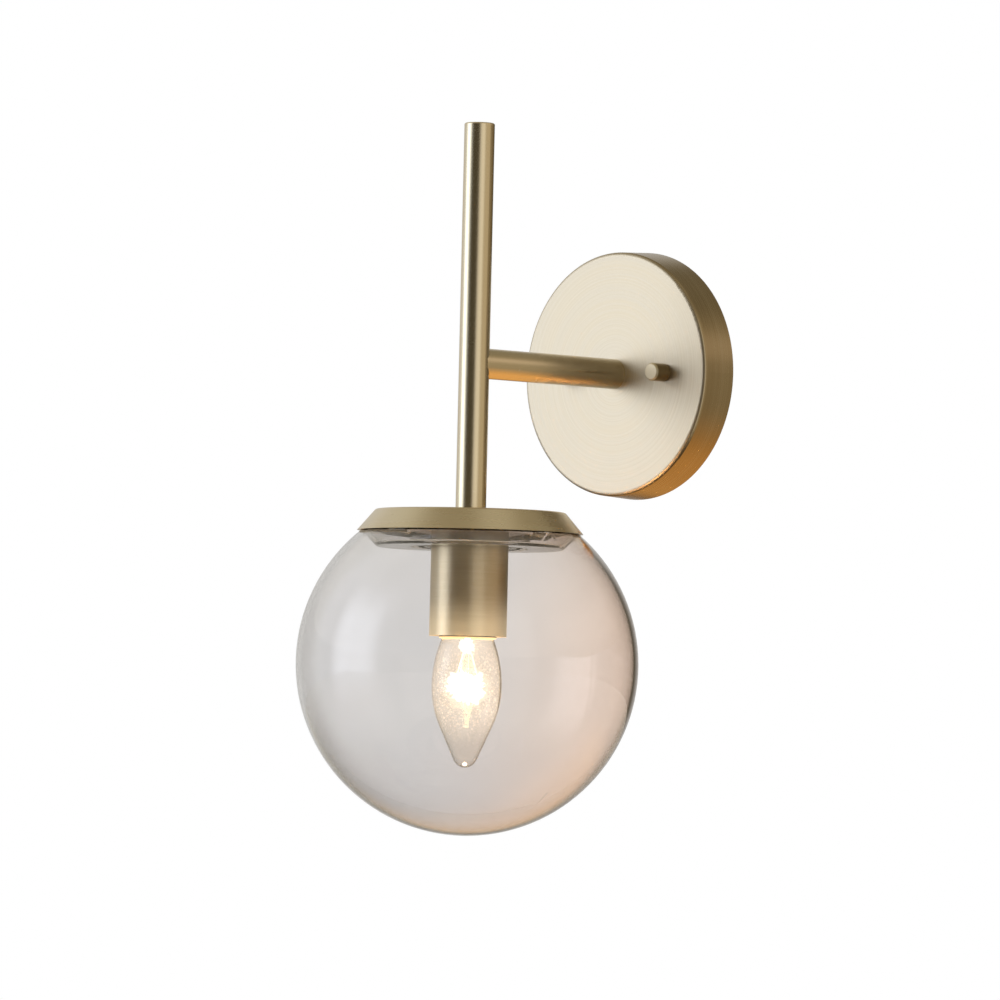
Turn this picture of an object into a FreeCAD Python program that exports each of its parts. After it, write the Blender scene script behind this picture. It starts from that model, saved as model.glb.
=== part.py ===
import FreeCAD, Part
import math
import os
from FreeCAD import Vector

# Globe wall sconce: a round backplate with two knob nuts, a straight arm, a tall
# stem, and a clear glass globe with a candle bulb under a shallow metal cap.
#
# Millimetres. The origin is the centre of the backplate on the wall plane. +Z is up
# and +Y points into the wall, so the lamp stands out from the wall along -Y.

# ---- Backplate and wall bracket ----
PLATE_RIM_D = 124.0        # where the backplate meets the wall
PLATE_FACE_D = 122.0       # across the front face, before its edge is rounded
PLATE_DEPTH = 20.0
PLATE_WALL = 1.2
PLATE_EDGE_R = 2.0
PLATE_INNER_EDGE_R = 0.8
STUD_SPACING = 68.0        # between the two knob nuts
STUD_D = 3.8               # M4 stud over its thread
STUD_GRIP = 6.0            # length of stud inside a knob nut
STUD_BEVEL = 0.5
KNOB_D = 9.0
KNOB_LENGTH = 10.0
KNOB_CHAMFER = 0.8
KNOB_BORE_SPARE = 1.0      # bore past the end of the stud
BRACKET_END = 16.0         # stud to the end of the strap
BRACKET_WIDTH = 22.0
BRACKET_THICKNESS = 1.5
BRACKET_CORNER_R = 3.0
WIRE_HOLE_D = 14.0         # supply cable through the bracket
SLOT_SPACING = 44.0        # between the two wall-screw slots
SLOT_LENGTH = 12.0
SLOT_WIDTH = 4.6
TAB_WIDTH = 30.0           # tab that carries the terminal block
TAB_DROP = 33.0

# ---- Arm and stem ----
TUBE_D = 15.0              # arm and stem
TUBE_WALL = 1.2
STEM_REACH = 121.3         # wall to stem axis
STEM_TOP = 118.0           # arm axis to the top of the stem
PLUG_HEAD = 1.6
PLUG_SHANK = 10.0
PLUG_EDGE_R = 1.0
PLUG_BEVEL = 0.5
COPE_TIP = 2.0             # the arm's coped tips stop this far from the stem axis
BLOCK_LENGTH = 20.0        # joint block inside the stem
BUSH_LENGTH = 14.0         # threaded bushes inside the tube ends
JOINT_NIPPLE_SHORT = 3.0   # the joint's nipple ends this far before the stem axis

# ---- M10 lamp thread, nuts and washers ----
NIPPLE_D = 10.0
NIPPLE_BORE = 7.0
NIPPLE_GRIP = 12.0         # length of nipple inside a bush
NIPPLE_BEVEL = 0.5
NIPPLE_PROUD = 2.0         # nipple showing past its lock nut
NUT_FLATS = 14.0
NUT_THICKNESS = 3.0
WASHER_D = 18.0
WASHER_THICKNESS = 1.0
STUD_NUT_FLATS = 7.0
STUD_NUT_THICKNESS = 3.2
NUT_BEVEL_SLOPE = 0.6      # rise over run at a nut's corners

# ---- Cap, cup and globe ----
GLOBE_D = 168.0
GLOBE_WALL = 2.2
GLOBE_DROP = 148.0         # arm axis to globe centre
CAP_RIM_D = 111.0
CAP_TOP_D = 93.0
CAP_HEIGHT = 10.5
CAP_WALL = 1.2
CAP_EDGE_R = 2.0
CAP_LAP = 1.2              # the cap's rim hangs this far below the fold of the glass
FOLD_INSET = 3.5           # from the cap's rim in to the fold, in radius
FOLD_BEND_R = 1.6
DISH_DEPTH = 6.8           # fold down to the floor of the pressed-in dish
DISH_SLOPE = 7.0           # fold in to the edge of that floor, in radius
NECK_D = 59.2
NECK_WALL = 2.4
NECK_CORNER_R = 2.0
FITTER_WALL = 1.0
FITTER_SKIRT = 9.5
FITTER_EDGE_R = 0.6
GASKET_THICKNESS = 1.2
CUP_D = 38.0
CUP_WALL = 1.0
CUP_LENGTH = 59.4
CUP_EDGE_R = 0.6

# ---- Lamp holder and candle bulb ----
HOLDER_D = 28.0
HOLDER_PROUD = 1.0         # the holder's rim shows below the cup
HOLDER_RIM_WALL = 0.9
HOLDER_CHAMBER_D = 21.0    # wiring chamber above the screw shell
HOLDER_FLOOR = 2.0         # insulating floor between the chamber and the bulb
HOLDER_ROOF = 2.0
SHOULDER_SLOPE = 0.6       # fall over run of the holder's shoulder
CHAMBER_BEVEL = 3.0        # height of the chamber's sloping ceiling
COLLAR_D = 17.0
COLLAR_LENGTH = 6.0
SHELL_WALL = 0.4
CONTACT_RECESS = 34.7      # holder's rim up to the bulb's end contact
TONGUE = (12.0, 3.6, 0.5)  # bent contact strip: length, width, thickness
TONGUE_TIP_D = 2.8
HOLDER_TERMINAL = (3.1, 4.0, 4.0)
HOLDER_TERMINAL_GAP = 1.2
BULB_D = 34.4
BULB_LENGTH = 98.0
BULB_GLASS_WALL = 0.7
BULB_WIDEST_UP = 40.0      # bulb's tip to its widest ring
BULB_SIDE_R = 48.8         # arc of its side below the widest ring
BULB_TAPER = 24.0          # degrees, side to axis above the nose
BULB_NECK_INSET = 0.5      # the envelope's neck stands inside the base
BULB_NECK_GRIP = 4.0       # length of envelope held in the base
BASE_D = 13.8              # small screw base
BASE_LENGTH = 18.0
BASE_WALL = 0.4
BASE_END_WALL = 0.8
BASE_FLARE_D = 14.6
BASE_FLARE_HEIGHT = 1.5
INSULATOR_HEIGHT = 2.4
CONTACT_D = 5.0
CONTACT_HEIGHT = 2.0
CONTACT_MARGIN = 0.8       # base end's hole around the contact, in radius
BULB_STEM_LENGTH = 15.9
BULB_PINCH_BEVEL = 0.9
BULB_PINCH_D = 2.6
BULB_STEM_D = 3.8          # just above the pinch
BULB_THROAT_D = 5.2        # under the stem's flare
BULB_THROAT_DROP = 5.0     # from the envelope's neck down to the throat
LEAD_D = 0.7
SUPPORT_D = 0.35
LEAD_ROOTS = 2.4           # between the lead wires, where they leave the glass stem
LEAD_CLEAR = 1.1           # times half of both thicknesses, from lead to filament
FILAMENT_D = 0.8
FILAMENT_SPREAD = 6.5      # half the width of the filament
FILAMENT_BOW = 2.5         # how far its middle stands forward
FILAMENT_RISE = 2.6        # half the height of a zigzag run
FILAMENT_RUNS = 6
FILAMENT_SHARE = 0.55      # its height from the bulb's tip to the base

# ---- Terminal block and wiring ----
TERMINAL_PITCH = 8.0
TERMINAL_BLOCK = (27.0, 13.0, 16.0)
TERMINAL_BARREL_D = 4.4
TERMINAL_BARREL_INSET = 1.0
TERMINAL_BORE = 2.8
TERMINAL_SCREW_D = 2.6
TERMINAL_SCREW_SUNK = 1.5
SCREW_SLOT = (0.6, 0.7)    # width and depth
TERMINAL_GAP = 3.0         # bracket strap to terminal block
FIXING_HEAD_D = 4.0
FIXING_RECESS = 3.0
FIXING_HEAD_HEIGHT = 1.6
FIXING_RECESS_PLAY = 0.2
WIRE_D = 2.0
WIRE_SPACING = 2.6
WIRE_BEND_R = 6.0          # at the stem, and the tighter bends before it
BLOCK_BEND_R = 2.0
ARM_ENTRY_BEND_R = 4.0
EARTH_BEND_R = 3.0
CRIMP_BEND_R = 4.0
EARTH_LOOP_SIDE = 12.0     # earth screw back to the loop of its wire
EARTH_LOOP_OUT = 6.0       # wall to that loop
EARTH_LOOP_DROP = 6.0      # crimp down to that loop
WIRE_GRIP = 5.0            # length of wire inside a terminal barrel
MAINS_RISE = 2.6           # terminal block to the bend of the live and neutral wires
EARTH_RISE = 3.5           # the same for the earth wire
ARM_ENTRY_DROP = 1.0       # where the wires turn into the arm, below its axis
EARTH_SCREW_PAST = 10.0    # stud to the earth screw
EARTH_SCREW_D = 3.8
EARTH_HEAD_D = 7.5
EARTH_HEAD_HEIGHT = 2.6
EARTH_HEAD_RIM = 1.2
EARTH_HEAD_TOP_D = 5.25
EARTH_CROSS = (0.8, 4.5, 1.3)  # width, length and depth of the cross recess
EARTH_EYE_D = 8.0
EARTH_EYE_THICKNESS = 0.8
CRIMP_D = 3.4
CRIMP_LENGTH = 5.0
CRIMP_START = 2.0          # from the eye's edge
TONGUE_WIDTH = 2.8
TONGUE_IN_CRIMP = 2.0
TONGUE_IN_EYE = 0.5

# ---- Clearances ----
FIT = 0.05                 # radial, pushed-in and screwed pieces of one body
THREAD_PLAY = 0.08         # radial, between a stud and its knob nut
HOLE_PLAY = 0.25           # radial, bolts and nipples through sheet
SEAT_GAP = 0.3             # between the fixed lamp and the globe or bulb
GLASS_PLAY = 0.35          # radial, glass neck in its fitter
KNOB_GAP = 0.1
CUT_PAST = 1.0             # a cutting shape runs this far past the face it opens

# ---- Places that follow from the sizes ----
TUBE_R = TUBE_D / 2
TUBE_BORE_R = TUBE_R - TUBE_WALL
BRACKET_LENGTH = STUD_SPACING + 2 * BRACKET_END
EARTH_SCREW_OUT = STUD_SPACING / 2 + EARTH_SCREW_PAST
GLOBE_Z = -GLOBE_DROP
FOLD_R = CAP_RIM_D / 2 - FOLD_INSET
FOLD_UP = math.sqrt((GLOBE_D / 2) ** 2 - FOLD_R ** 2)
CAP_RIM_Z = GLOBE_Z + FOLD_UP - CAP_LAP
CAP_TOP_Z = CAP_RIM_Z + CAP_HEIGHT
CAP_CEILING_Z = CAP_TOP_Z - CAP_WALL
FITTER_Z = CAP_CEILING_Z - FITTER_WALL
CUP_CEILING_Z = FITTER_Z - CUP_WALL
CUP_MOUTH_Z = FITTER_Z - CUP_LENGTH
WASHER_Z = CUP_CEILING_Z - WASHER_THICKNESS
HOLDER_TOP_Z = WASHER_Z - NUT_THICKNESS
HOLDER_RIM_Z = CUP_MOUTH_Z - HOLDER_PROUD
HOLDER_RIM_R = HOLDER_D / 2 - HOLDER_RIM_WALL
CONTACT_TOP_Z = HOLDER_RIM_Z + CONTACT_RECESS
BULB_TIP_Z = CONTACT_TOP_Z - BULB_LENGTH
INSULATOR_TOP_Z = CONTACT_TOP_Z - CONTACT_HEIGHT
BASE_TOP_Z = INSULATOR_TOP_Z - INSULATOR_HEIGHT
BASE_END_Z = BASE_TOP_Z - BASE_LENGTH
BULB_NECK_Z = BASE_END_Z - BULB_NECK_INSET
BULB_NECK_R = BASE_D / 2 - BULB_NECK_INSET
PINCH_Z = BULB_NECK_Z - BULB_STEM_LENGTH
SHELL_R = BASE_D / 2 + SEAT_GAP
HOLDER_CONTACT_Z = CONTACT_TOP_Z + SEAT_GAP
CHAMBER_FLOOR_Z = HOLDER_CONTACT_Z + CONTACT_HEIGHT / 2 + HOLDER_FLOOR
NECK_TOP_Z = FITTER_Z - GASKET_THICKNESS - SEAT_GAP
PLATE_INSIDE = PLATE_DEPTH - PLATE_WALL
ARM_NIPPLE_END = PLATE_INSIDE - WASHER_THICKNESS - NUT_THICKNESS - NIPPLE_PROUD
BLOCK_DEPTH = BRACKET_THICKNESS + TERMINAL_BLOCK[1] / 2
BLOCK_TOP_Z = -BRACKET_WIDTH / 2 - TERMINAL_GAP


# ---- Shape helpers ----

def turned(start, *steps):
    """Solid turned about Z from an outline in radius and height.

    A step is a corner (r, z); a pair of points for an arc through the first to the
    second; or a list of points for a smooth curve through them all.
    """
    def point(place):
        return Vector(place[0], 0, place[1])

    edges = []
    here = point(start)
    for step in steps + (start,):
        if isinstance(step, list):
            places = [here] + [point(place) for place in step]
            curve = Part.BSplineCurve()
            curve.interpolate(places)
            edges.append(curve.toShape())
            here = places[-1]
        elif isinstance(step[0], tuple):
            there = point(step[1])
            edges.append(Part.Arc(here, point(step[0]), there).toShape())
            here = there
        elif point(step).distanceToPoint(here) > 1e-6:
            edges.append(Part.LineSegment(here, point(step)).toShape())
            here = point(step)
    return Part.Face(Part.Wire(edges)).revolve(Vector(), Vector(0, 0, 1), 360)


def ring(outer_r, inner_r, low, high):
    """Plain ring or tube about Z between two heights."""
    return turned((outer_r, low), (outer_r, high), (inner_r, high), (inner_r, low))


def rod(radius, low, high, x=0.0, y=0.0):
    return Part.makeCylinder(radius, high - low, Vector(x, y, low))


def block(low, high):
    size = [top - bottom for bottom, top in zip(low, high)]
    return Part.makeBox(*size, Vector(*low))


def hexagon_nut(flats, bore_r, low, high):
    corner_r = flats / math.sqrt(3)
    corners = []
    for index in range(7):
        angle = math.radians(60 * index + 30)
        corners.append(Vector(corner_r * math.cos(angle), corner_r * math.sin(angle), low))
    prism = Part.Face(Part.makePolygon(corners)).extrude(Vector(0, 0, high - low))
    rise = (corner_r - flats / 2) * NUT_BEVEL_SLOPE
    bevel = turned((0, low), (flats / 2, low), (corner_r, low + rise),
                   (corner_r, high - rise), (flats / 2, high), (0, high))
    return prism.common(bevel).cut(rod(bore_r, low, high))


def round_edges(solid, radius, *circles):
    """Fillet the circular edges of the given radius and height about Z."""
    chosen = []
    for edge in solid.Edges:
        if edge.Degenerated or not isinstance(edge.Curve, Part.Circle):
            continue
        for circle_r, height in circles:
            if abs(edge.Curve.Radius - circle_r) < 1e-3 and abs(edge.Curve.Center.z - height) < 1e-3:
                chosen.append(edge)
    return solid.makeFillet(radius, chosen)


def on_stem(shape):
    """Move a shape built about Z onto the stem axis; its heights stay."""
    moved = shape.copy()
    moved.translate(Vector(0, -STEM_REACH, 0))
    return moved


def off_wall(shape, x=0.0, z=0.0):
    """Turn a shape built about Z so that its height is the distance from the wall."""
    moved = shape.copy()
    moved.rotate(Vector(), Vector(1, 0, 0), 90)
    moved.translate(Vector(x, 0, z))
    return moved


def bent_wire(points, bends, wire_r):
    """Round wire through the points; each corner is an arc of its own bend radius."""
    places = [Vector(*place) for place in points]
    edges = []
    start = places[0]
    for before, corner, after, bend_r in zip(places, places[1:], places[2:], bends):
        back = (before - corner).normalize()
        ahead = (after - corner).normalize()
        half = (math.pi - back.getAngle(ahead)) / 2
        reach = bend_r * math.tan(half)
        bisector = (back + ahead).normalize()
        middle = corner + bisector * (bend_r / math.cos(half) - bend_r)
        edges.append(Part.LineSegment(start, corner + back * reach).toShape())
        edges.append(Part.Arc(corner + back * reach, middle, corner + ahead * reach).toShape())
        start = corner + ahead * reach
    edges.append(Part.LineSegment(start, places[-1]).toShape())
    heading = (places[1] - places[0]).normalize()
    section = Part.Wire(Part.Circle(places[0], heading, wire_r).toShape())
    return Part.Wire(edges).makePipeShell([section], True, False)


def stick(start, end, radius):
    """Straight thin wire with round ends, between two points."""
    start, end = Vector(*start), Vector(*end)
    shaft = Part.makeCylinder(radius, (end - start).Length, start, end - start)
    return shaft.fuse([Part.makeSphere(radius, start), Part.makeSphere(radius, end)])


# ---- Wall side ----

def make_backplate():
    rim_r, face_r = PLATE_RIM_D / 2, PLATE_FACE_D / 2
    hole_r = NIPPLE_D / 2 + HOLE_PLAY
    pan = turned((rim_r, 0), (face_r, PLATE_DEPTH), (hole_r, PLATE_DEPTH), (hole_r, PLATE_INSIDE),
                 (face_r - PLATE_WALL, PLATE_INSIDE), (rim_r - PLATE_WALL, 0))
    pan = round_edges(pan, PLATE_EDGE_R, (face_r, PLATE_DEPTH))
    pan = round_edges(pan, PLATE_INNER_EDGE_R, (face_r - PLATE_WALL, PLATE_INSIDE))
    for side in (-1, 1):
        x = side * STUD_SPACING / 2
        pan = pan.cut(rod(STUD_D / 2 + HOLE_PLAY, PLATE_INSIDE - CUT_PAST, PLATE_DEPTH + CUT_PAST, x))
    return off_wall(pan)


def make_bracket():
    half_l, half_w, thick = BRACKET_LENGTH / 2, BRACKET_WIDTH / 2, BRACKET_THICKNESS
    strap = block((-half_l, -half_w, 0), (half_l, half_w, thick))
    strap = strap.fuse(block((-TAB_WIDTH / 2, -TAB_DROP, 0), (TAB_WIDTH / 2, 0, thick)))
    strap = strap.removeSplitter()
    corners = [edge for edge in strap.Edges if edge.Length < thick + 1e-6
               and abs(edge.tangentAt(edge.FirstParameter).z) > 0.9]
    strap = strap.makeFillet(BRACKET_CORNER_R, corners)
    holes = [rod(WIRE_HOLE_D / 2, -CUT_PAST, thick + CUT_PAST)]
    for side in (-1, 1):
        holes.append(rod(STUD_D / 2 + FIT, -CUT_PAST, thick + CUT_PAST, side * STUD_SPACING / 2))
        near = side * SLOT_SPACING / 2 - (SLOT_LENGTH - SLOT_WIDTH) / 2
        far = side * SLOT_SPACING / 2 + (SLOT_LENGTH - SLOT_WIDTH) / 2
        holes.append(block((near, -SLOT_WIDTH / 2, -CUT_PAST), (far, SLOT_WIDTH / 2, thick + CUT_PAST)))
        holes.append(rod(SLOT_WIDTH / 2, -CUT_PAST, thick + CUT_PAST, near))
        holes.append(rod(SLOT_WIDTH / 2, -CUT_PAST, thick + CUT_PAST, far))
    holes.append(rod(EARTH_SCREW_D / 2 + FIT, -CUT_PAST, thick + CUT_PAST, EARTH_SCREW_OUT))
    block_middle = BLOCK_TOP_Z - TERMINAL_BLOCK[2] / 2
    for side in (-1, 1):
        holes.append(rod(TERMINAL_SCREW_D / 2 + FIT, -CUT_PAST, thick + CUT_PAST,
                         side * TERMINAL_PITCH / 2, block_middle))
    return off_wall(strap.cut(holes))


def make_studs():
    end = PLATE_DEPTH + KNOB_GAP + STUD_GRIP
    studs = []
    for side in (-1, 1):
        stud = turned((0, 0), (STUD_D / 2, 0), (STUD_D / 2, end - STUD_BEVEL),
                      (STUD_D / 2 - STUD_BEVEL, end), (0, end))
        studs.append(off_wall(stud, side * STUD_SPACING / 2))
    return Part.makeCompound(studs)


def make_stud_nuts():
    low = BRACKET_THICKNESS
    nut = hexagon_nut(STUD_NUT_FLATS, STUD_D / 2 + FIT, low, low + STUD_NUT_THICKNESS)
    return Part.makeCompound([off_wall(nut, side * STUD_SPACING / 2) for side in (-1, 1)])


def make_knob(side):
    radius, base, bore_r = KNOB_D / 2, PLATE_DEPTH + KNOB_GAP, STUD_D / 2 + THREAD_PLAY
    end, bore_end = base + KNOB_LENGTH, base + STUD_GRIP + KNOB_BORE_SPARE
    knob = turned((bore_r, base), (radius - KNOB_CHAMFER, base), (radius, base + KNOB_CHAMFER),
                  (radius, end - KNOB_CHAMFER), (radius - KNOB_CHAMFER, end), (0, end),
                  (0, bore_end), (bore_r, bore_end))
    return off_wall(knob, side * STUD_SPACING / 2)


# ---- Arm and stem ----

def make_arm_tube():
    tube = ring(TUBE_R, TUBE_BORE_R, PLATE_DEPTH, STEM_REACH - COPE_TIP)
    return off_wall(tube).cut(on_stem(rod(TUBE_R, -TUBE_D, TUBE_D)))


def make_stem_tube():
    tube = ring(TUBE_R, TUBE_BORE_R, CAP_TOP_Z, STEM_TOP - PLUG_HEAD)
    side_hole = off_wall(rod(NIPPLE_D / 2 + HOLE_PLAY, STEM_REACH - TUBE_D, STEM_REACH))
    return on_stem(tube).cut(side_hole)


def make_stem_plug():
    seat, shank_r = STEM_TOP - PLUG_HEAD, TUBE_BORE_R - FIT
    plug = turned((0, seat - PLUG_SHANK), (shank_r - PLUG_BEVEL, seat - PLUG_SHANK),
                  (shank_r, seat - PLUG_SHANK + PLUG_BEVEL), (shank_r, seat), (TUBE_R, seat),
                  (TUBE_R, STEM_TOP), (0, STEM_TOP))
    return on_stem(round_edges(plug, PLUG_EDGE_R, (TUBE_R, STEM_TOP)))


def make_joint_block():
    plug = rod(TUBE_BORE_R - FIT, -BLOCK_LENGTH / 2, BLOCK_LENGTH / 2)
    plug = on_stem(plug.cut(rod(NIPPLE_BORE / 2, -BLOCK_LENGTH, 0)))
    return plug.cut(off_wall(rod(NIPPLE_D / 2 + FIT, STEM_REACH - TUBE_D, STEM_REACH)))


def bush(low, high):
    """Threaded bush pressed into a tube end."""
    return ring(TUBE_BORE_R - FIT, NIPPLE_D / 2 + FIT, low, high)


def nipple(low, high):
    """Hollow M10 nipple with bevelled ends."""
    outer, inner, bevel = NIPPLE_D / 2, NIPPLE_BORE / 2, NIPPLE_BEVEL
    return turned((inner, low), (outer - bevel, low), (outer, low + bevel), (outer, high - bevel),
                  (outer - bevel, high), (inner, high))


def make_arm_pieces():
    stem_side = STEM_REACH - TUBE_R
    washer_end = PLATE_INSIDE - WASHER_THICKNESS
    nut = hexagon_nut(NUT_FLATS, NIPPLE_D / 2 + FIT, washer_end - NUT_THICKNESS, washer_end)
    return {
        "arm_tube": make_arm_tube(),
        "arm_wall_bush": off_wall(bush(PLATE_DEPTH, PLATE_DEPTH + BUSH_LENGTH)),
        "arm_stem_bush": off_wall(bush(stem_side - BUSH_LENGTH, stem_side)),
        "arm_wall_nipple": off_wall(nipple(ARM_NIPPLE_END, PLATE_DEPTH + NIPPLE_GRIP)),
        "arm_stem_nipple": off_wall(nipple(stem_side - NIPPLE_GRIP, STEM_REACH - JOINT_NIPPLE_SHORT)),
        "arm_washer": off_wall(ring(WASHER_D / 2, NIPPLE_D / 2 + HOLE_PLAY, washer_end, PLATE_INSIDE)),
        "arm_lock_nut": off_wall(nut),
    }


def make_stem_pieces():
    nipple_top = CAP_TOP_Z + NIPPLE_GRIP
    nut = hexagon_nut(NUT_FLATS, NIPPLE_D / 2 + FIT, HOLDER_TOP_Z, WASHER_Z)
    washer = ring(WASHER_D / 2, NIPPLE_D / 2 + HOLE_PLAY, WASHER_Z, CUP_CEILING_Z)
    return {
        "stem_tube": make_stem_tube(),
        "stem_top_plug": make_stem_plug(),
        "stem_joint_block": make_joint_block(),
        "stem_bush": on_stem(bush(CAP_TOP_Z, CAP_TOP_Z + BUSH_LENGTH)),
        "stem_nipple": on_stem(nipple(HOLDER_TOP_Z - COLLAR_LENGTH, nipple_top)),
        "cup_washer": on_stem(washer),
        "cup_lock_nut": on_stem(nut),
    }


# ---- Cap, fitter, cup and globe ----

def make_cap():
    rim_r, top_r, hole_r = CAP_RIM_D / 2, CAP_TOP_D / 2, NIPPLE_D / 2 + HOLE_PLAY
    lean = (rim_r - top_r) / CAP_HEIGHT
    skin = CAP_WALL * math.hypot(1, lean)
    cap = turned((rim_r, CAP_RIM_Z), (top_r, CAP_TOP_Z), (hole_r, CAP_TOP_Z),
                 (hole_r, CAP_CEILING_Z), (top_r + CAP_WALL * lean - skin, CAP_CEILING_Z),
                 (rim_r - skin, CAP_RIM_Z))
    cap = round_edges(cap, CAP_EDGE_R, (top_r, CAP_TOP_Z))
    return on_stem(cap)


def make_fitter():
    """Pressed-steel fitter: a disc under the cap with a skirt that holds the glass neck."""
    inner = NECK_D / 2 + GLASS_PLAY
    outer = inner + FITTER_WALL
    hole_r = NIPPLE_D / 2 + HOLE_PLAY
    fitter = turned((outer, CAP_CEILING_Z), (hole_r, CAP_CEILING_Z), (hole_r, FITTER_Z),
                    (inner, FITTER_Z), (inner, CAP_CEILING_Z - FITTER_SKIRT),
                    (outer, CAP_CEILING_Z - FITTER_SKIRT))
    return on_stem(round_edges(fitter, FITTER_EDGE_R, (outer, CAP_CEILING_Z)))


def make_gasket():
    outer = NECK_D / 2
    return on_stem(ring(outer, outer - NECK_WALL, FITTER_Z - GASKET_THICKNESS, FITTER_Z))


def make_cup():
    outer, hole_r = CUP_D / 2, NIPPLE_D / 2 + HOLE_PLAY
    cup = turned((outer, CUP_MOUTH_Z), (outer, FITTER_Z), (hole_r, FITTER_Z),
                 (hole_r, CUP_CEILING_Z), (outer - CUP_WALL, CUP_CEILING_Z),
                 (outer - CUP_WALL, CUP_MOUTH_Z))
    cup = round_edges(cup, CUP_EDGE_R, (outer, FITTER_Z))
    return on_stem(cup)


def sphere_r_at(sphere_r, height):
    return math.sqrt(sphere_r ** 2 - height ** 2)


def make_globe():
    """Blown globe whose top is pressed in to a flat dish with an upstanding neck."""
    outer, inner = GLOBE_D / 2, GLOBE_D / 2 - GLOBE_WALL
    floor_r, floor_up = FOLD_R - DISH_SLOPE, FOLD_UP - DISH_DEPTH
    under_up = floor_up - GLOBE_WALL
    # The inner face of the dish's slope lies one wall outside its upper face.
    shift = GLOBE_WALL / math.hypot(DISH_SLOPE, DISH_DEPTH)
    slope = DISH_SLOPE / DISH_DEPTH
    base_r, base_up = floor_r + DISH_DEPTH * shift, floor_up - DISH_SLOPE * shift
    under_r = base_r - (base_up - under_up) * slope
    # Where that inner slope meets the inner sphere, worked out by halving.
    low, high = under_up, FOLD_UP
    for _ in range(40):
        fold_up = (low + high) / 2
        if base_r + (fold_up - base_up) * slope < sphere_r_at(inner, fold_up):
            low = fold_up
        else:
            high = fold_up
    inner_fold_r = sphere_r_at(inner, fold_up)
    neck_r, bore_r = NECK_D / 2, NECK_D / 2 - NECK_WALL
    neck_up = NECK_TOP_Z - GLOBE_Z
    globe = turned((0, -outer), ((outer, 0), (FOLD_R, FOLD_UP)), (floor_r, floor_up),
                   (neck_r, floor_up), (neck_r, neck_up), (bore_r, neck_up), (bore_r, under_up),
                   (under_r, under_up), (inner_fold_r, fold_up), ((inner, 0), (0, -inner)))
    globe = round_edges(globe, FOLD_BEND_R, (FOLD_R, FOLD_UP), (floor_r, floor_up), (neck_r, floor_up))
    globe = round_edges(globe, NECK_CORNER_R, (bore_r, under_up), (under_r, under_up))
    globe = round_edges(globe, NECK_WALL / 3, (neck_r, neck_up), (bore_r, neck_up))
    globe.translate(Vector(0, 0, GLOBE_Z))
    return on_stem(globe)


# ---- Lamp holder ----

def make_holder_body():
    outer, chamber_r = HOLDER_D / 2, HOLDER_CHAMBER_D / 2
    collar_r, thread_r = COLLAR_D / 2, NIPPLE_D / 2 + FIT
    collar_end = HOLDER_TOP_Z - COLLAR_LENGTH
    roof = collar_end - HOLDER_ROOF
    contact_room = HOLDER_CONTACT_Z + CONTACT_HEIGHT / 2
    shell_bore = SHELL_R + SHELL_WALL + FIT
    body = turned((thread_r, HOLDER_TOP_Z), (collar_r, HOLDER_TOP_Z), (collar_r, collar_end),
                  (outer, collar_end - (outer - collar_r) * SHOULDER_SLOPE), (outer, HOLDER_RIM_Z),
                  (HOLDER_RIM_R, HOLDER_RIM_Z), (shell_bore, BASE_END_Z), (shell_bore, contact_room),
                  (0, contact_room), (0, CHAMBER_FLOOR_Z), (chamber_r, CHAMBER_FLOOR_Z),
                  (chamber_r, roof - CHAMBER_BEVEL), (thread_r, roof))
    return on_stem(body)


def make_holder_shell():
    low = BASE_END_Z + BASE_FLARE_HEIGHT + SEAT_GAP
    return on_stem(ring(SHELL_R + SHELL_WALL, SHELL_R, low, BASE_TOP_Z))


def make_holder_contact():
    """Bent brass tongue on the insulating floor, above the bulb's contact."""
    length, width, thickness = TONGUE
    top = HOLDER_CONTACT_Z + CONTACT_HEIGHT / 2
    foot = block((-width / 2, -length / 2, top - thickness), (width / 2, length / 2, top))
    button = turned((0, HOLDER_CONTACT_Z), (TONGUE_TIP_D / 2, HOLDER_CONTACT_Z),
                    (width / 2, top - thickness), (0, top - thickness))
    return on_stem(foot.fuse(button).removeSplitter())


def make_holder_terminals():
    """Two brass screw terminals in the wiring chamber, one for each wire."""
    width, depth, height = HOLDER_TERMINAL
    near, low = HOLDER_TERMINAL_GAP / 2, CHAMBER_FLOOR_Z
    right = block((near, -depth / 2, low), (near + width, depth / 2, low + height))
    left = block((-near - width, -depth / 2, low), (-near, depth / 2, low + height))
    return Part.makeCompound([on_stem(left), on_stem(right)])


# ---- Bulb ----

def bulb_points(inset):
    """Outline of the candle envelope, from its neck to its tip, at an inset from its outer face.

    An arc down to the widest ring, an arc below it, a straight taper and a round nose,
    each tangent to the next.
    """
    taper = math.radians(BULB_TAPER)
    widest, middle = BULB_D / 2, BULB_TIP_Z + BULB_WIDEST_UP
    narrowing = widest - BULB_NECK_R
    upper_r = (narrowing ** 2 + (BULB_NECK_Z - middle) ** 2) / (2 * narrowing)
    neck_angle = math.acos((upper_r - narrowing - inset) / (upper_r - inset))
    taper_r = widest - BULB_SIDE_R * (1 - math.cos(taper))
    taper_up = BULB_WIDEST_UP - BULB_SIDE_R * math.sin(taper)
    nose_r = (taper_r * math.cos(taper) - taper_up * math.sin(taper)) / (1 - math.sin(taper))

    def on_arc(centre_r, centre_z, arc_r, angle):
        reach = arc_r - inset
        return (centre_r + reach * math.cos(angle), centre_z + reach * math.sin(angle))

    upper = (widest - upper_r, middle, upper_r)
    lower = (widest - BULB_SIDE_R, middle, BULB_SIDE_R)
    nose = (0, BULB_TIP_Z + nose_r, nose_r)
    return [on_arc(*upper, neck_angle), on_arc(*upper, neck_angle / 2), on_arc(*upper, 0),
            on_arc(*lower, -taper / 2), on_arc(*lower, -taper), on_arc(*nose, -taper),
            on_arc(*nose, -(taper + math.pi / 2) / 2), (0, BULB_TIP_Z + inset)]


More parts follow.
